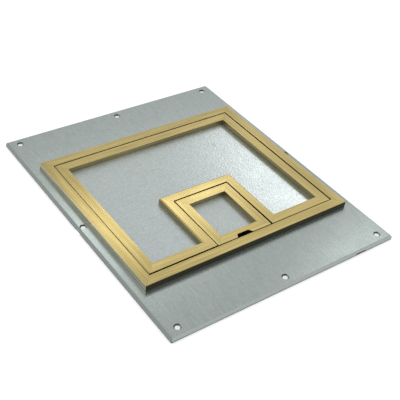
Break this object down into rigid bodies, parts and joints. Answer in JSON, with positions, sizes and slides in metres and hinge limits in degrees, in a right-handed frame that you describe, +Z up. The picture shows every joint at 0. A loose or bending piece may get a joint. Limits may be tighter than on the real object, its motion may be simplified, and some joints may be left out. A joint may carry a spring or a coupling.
{
  "type": "floor box cover",
  "caption": "Floor box cover: folded steel plate, mitred brass rails round a hinged door recessed for carpet, and a smaller hinged cable lid with a finger notch.",
  "frame": {"origin": "middle of the plate's footprint, at the foot of its lips", "axes": "+Z up out of the floor, +Y along the plate's long side to the door's hinge, +X to the right as seen from the front"},
  "size_m": [0.305, 0.369, 0.012],
  "materials": {
    "plate_steel": "dull galvanised sheet",
    "pan_steel": "brushed sheet",
    "brass": "satin",
    "pin_steel": "ground"
  },
  "bodies": {
    "base": {"base_plate": "plate_steel", "frame_rail_left": "brass", "frame_rail_back": "brass", "frame_rail_right": "brass", "frame_rail_front": "brass", "door_pin_left": "pin_steel", "door_pin_right": "pin_steel"},
    "door": {"door_pan": "pan_steel", "door_rail_left": "brass", "door_rail_back": "brass", "door_rail_right": "brass", "door_rail_front_right": "brass", "door_rail_front_left": "brass", "port_rail_right": "brass", "port_rail_back": "brass", "port_rail_left": "brass", "pan_rivet": "pin_steel", "port_pin_left": "pin_steel", "port_pin_right": "pin_steel"},
    "lid": {"lid_pan": "pan_steel", "lid_rail_left": "brass", "lid_rail_back": "brass", "lid_rail_right": "brass", "lid_rail_front": "brass"}
  },
  "joints": [
    {"name": "door_hinge", "type": "hinge", "parent": "base", "child": "door", "pos_m": [0, 0.0978, 0.0088], "axis": [-1, 0, 0], "range_deg": [0, 120]},
    {"name": "lid_hinge", "type": "hinge", "parent": "door", "child": "lid", "pos_m": [0, -0.0258, 0.0088], "axis": [-1, 0, 0], "range_deg": [0, 120]}
  ]
}
